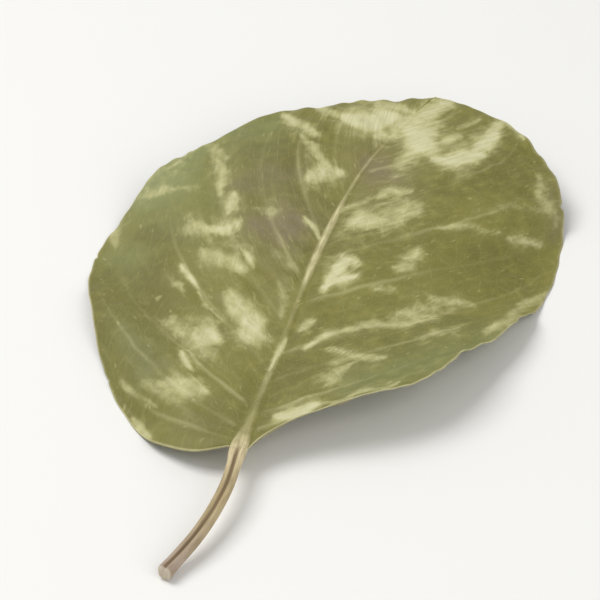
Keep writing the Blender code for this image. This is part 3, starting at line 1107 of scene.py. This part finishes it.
for shown, colour in ((vein_below, linear(VEIN_BROWN)), (rib_part, straw)):
    paint = add_node(tree, "ShaderNodeMix", {0: shown, 6: paint, 7: colour}, **MIX)
tree.links.new(paint, surface.inputs["Base Color"])
print("the paint is", len(tree.nodes), "nodes so far")

# %% [markdown]
# ## Gloss and fine relief
#
# Satin wax gives soft highlights that the dents and veins break up. Where the pale strokes of
# rubbed wax and painted sheen lie, and below, the skin is duller. The finest relief is too small
# for the mesh, so a Bump node tilts the light instead. Below, the ladder stands up by five
# hundredths of a millimetre and the net by three, and on top by half as much. The stalk's fibres
# stand up by eight. Heights are added up in millimetres, so the Bump distance is 0.001.

# %% Roughness
SATIN, SATIN_SPREAD = 0.50, 0.20
PLANT_WAX_IOR = 1.45
DULLER = (
    (mottle, SATIN_SPREAD),
    (mask["pale_scuff_and_sheen"], 0.08),
    (trait["underside"], 0.20),
    (trait["rib"], 0.10),
)
dull = SATIN
for part, more in DULLER:
    dull = add_node(tree, "ShaderNodeMath", {0: part, 1: more, 2: dull}, **TIMES_PLUS)
tree.links.new(dull, surface.inputs["Roughness"])
surface.inputs["IOR"].default_value = PLANT_WAX_IOR
surface.inputs["Metallic"].default_value = 0.0
print("roughness on top runs from", SATIN, "to", round(SATIN + SATIN_SPREAD, 2))

# %% Fine relief
PROUD_ON_TOP = 0.5
on_blade = add_node(tree, "ShaderNodeMath", {0: 1.0, 1: trait["rib"]}, operation="SUBTRACT")
proud = {0: trait["underside"], 1: 1 - PROUD_ON_TOP, 2: PROUD_ON_TOP}
proud = add_node(tree, "ShaderNodeMath", proud, **TIMES_PLUS)
on_ribs = add_node(tree, "ShaderNodeMath", {0: fibres, 1: trait["rib"]}, **TIMES)
NETS_MM = ((mask["net"], 0.03), (mask["ladder"], 0.05))
RELIEF_MM = ((grain, 0.02), (on_ribs, 0.08), (mask["pale_scuff_and_sheen"], 0.02))
relief = 0.0
for pattern, height in NETS_MM:
    relief = add_node(tree, "ShaderNodeMath", {0: pattern, 1: height, 2: relief}, **TIMES_PLUS)
for part in (on_blade, proud):
    relief = add_node(tree, "ShaderNodeMath", {0: relief, 1: part}, **TIMES)
for pattern, height in RELIEF_MM:
    relief = add_node(tree, "ShaderNodeMath", {0: pattern, 1: height, 2: relief}, **TIMES_PLUS)
bumped = {"Strength": 1.0, "Distance": 1 / MM, "Height": relief}
bumped = add_node(tree, "ShaderNodeBump", bumped, output="Normal")
tree.links.new(bumped, surface.inputs["Normal"])
leaf.data.materials.append(leaf_skin)
print("the skin is", len(tree.nodes), "nodes")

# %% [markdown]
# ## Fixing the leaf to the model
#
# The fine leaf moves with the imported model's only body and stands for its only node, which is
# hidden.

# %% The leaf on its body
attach(leaf, "root")
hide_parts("leaf")
print("the fine leaf rides on root and replaces leaf")

# %% [markdown]
# ## Floor
#
# The floor is a plain pale table top. A plane with one colour looks like paper, so a noise of
# some centimetres varies its roughness a little. It is wide enough to fill every view.

# %% Floor
TABLE_HALF_WIDTH = 2.0
TABLE_COLOUR = "#efeeea"
WEAR_MM = 83.333
floor_data = bpy.data.meshes.new("floor")
corners = TABLE_HALF_WIDTH * np.array([(-1, -1, 0), (1, -1, 0), (1, 1, 0), (-1, 1, 0)])
floor_data.from_pydata(corners, [], [(0, 1, 2, 3)])
floor = bpy.data.objects.new("floor", floor_data)
bpy.context.scene.collection.objects.link(floor)
table_top = bpy.data.materials.new("matt_white_table")
table_top.use_nodes = True
table_tree = table_top.node_tree
table_surface = table_tree.nodes["Principled BSDF"]
table_surface.inputs["Base Color"].default_value = linear(TABLE_COLOUR)
on_table = add_node(table_tree, "ShaderNodeTexCoord", output="Object")
wear = {"Vector": on_table, "Scale": MM / WEAR_MM, "Detail": 2.0}
wear = add_node(table_tree, "ShaderNodeTexNoise", wear)
wear = add_node(table_tree, "ShaderNodeMath", {0: wear, 1: 0.1, 2: 0.6}, **TIMES_PLUS)
table_tree.links.new(wear, table_surface.inputs["Roughness"])
floor_data.materials.append(table_top)
print("the floor is", floor.dimensions.x, "m wide")

# %% [markdown]
# ## Light
#
# A studio would light a flat thing with one large soft box, high on the left, and let a weaker
# lamp on the right and pale walls fill the shadows. A sun lamp would draw every vein with a hard
# edge. Area lamps of half a metre and more give soft shadows and a broad sheen, and the world's
# colour stands for the walls. A box behind the leaf would lay a grey sheen over the blade.

# %% Lamps and pale walls
WALL_COLOUR, WALL_STRENGTH = "#f4f5f7", 0.45
LAMPS = (
    # name, place, side in metres, watts
    ("soft_box", (-0.46, 0.05, 0.80), 0.55, 5.5),
    ("fill", (0.60, -0.45, 0.55), 0.80, 3.3),
)
for name, spot, side_length, watts in LAMPS:
    lamp = bpy.data.lights.new(name, "AREA")
    lamp.shape, lamp.size, lamp.energy = "SQUARE", side_length, watts
    holder = bpy.data.objects.new(name, lamp)
    holder.location = spot
    holder.rotation_euler = (-Vector(spot)).to_track_quat("-Z", "Y").to_euler()
    bpy.context.scene.collection.objects.link(holder)
world = bpy.data.worlds.new("pale_room")
world.use_nodes = True
walls = world.node_tree.nodes["Background"]
walls.inputs["Color"].default_value = linear(WALL_COLOUR)
walls.inputs["Strength"].default_value = WALL_STRENGTH
bpy.context.scene.world = world
bpy.context.scene.view_settings.view_transform = "Standard"
print("lamps:", ", ".join(name for name, *_ in LAMPS))

# %% [markdown]
# ## Camera
#
# The leaf is seen from where it was photographed, 40 degrees above the table and a little to
# the right of its stalk. A long lens from 0.6 m away fills the square picture with it and keeps
# the mild perspective of the photograph. The aim is the middle of the leaf.

# %% Camera
AIM = Vector((0.0, 0.004, 0.004))
stand = JOINT - SEEN_DISTANCE * ahead
camera_data = bpy.data.cameras.new("camera")
camera_data.lens = 205
camera_data.clip_start = 0.01
camera = bpy.data.objects.new("camera", camera_data)
camera.location = stand
camera.rotation_euler = (AIM - camera.location).to_track_quat("-Z", "Y").to_euler()
bpy.context.scene.collection.objects.link(camera)
bpy.context.scene.camera = camera
print("the camera stands at", [round(float(v), 3) for v in stand])
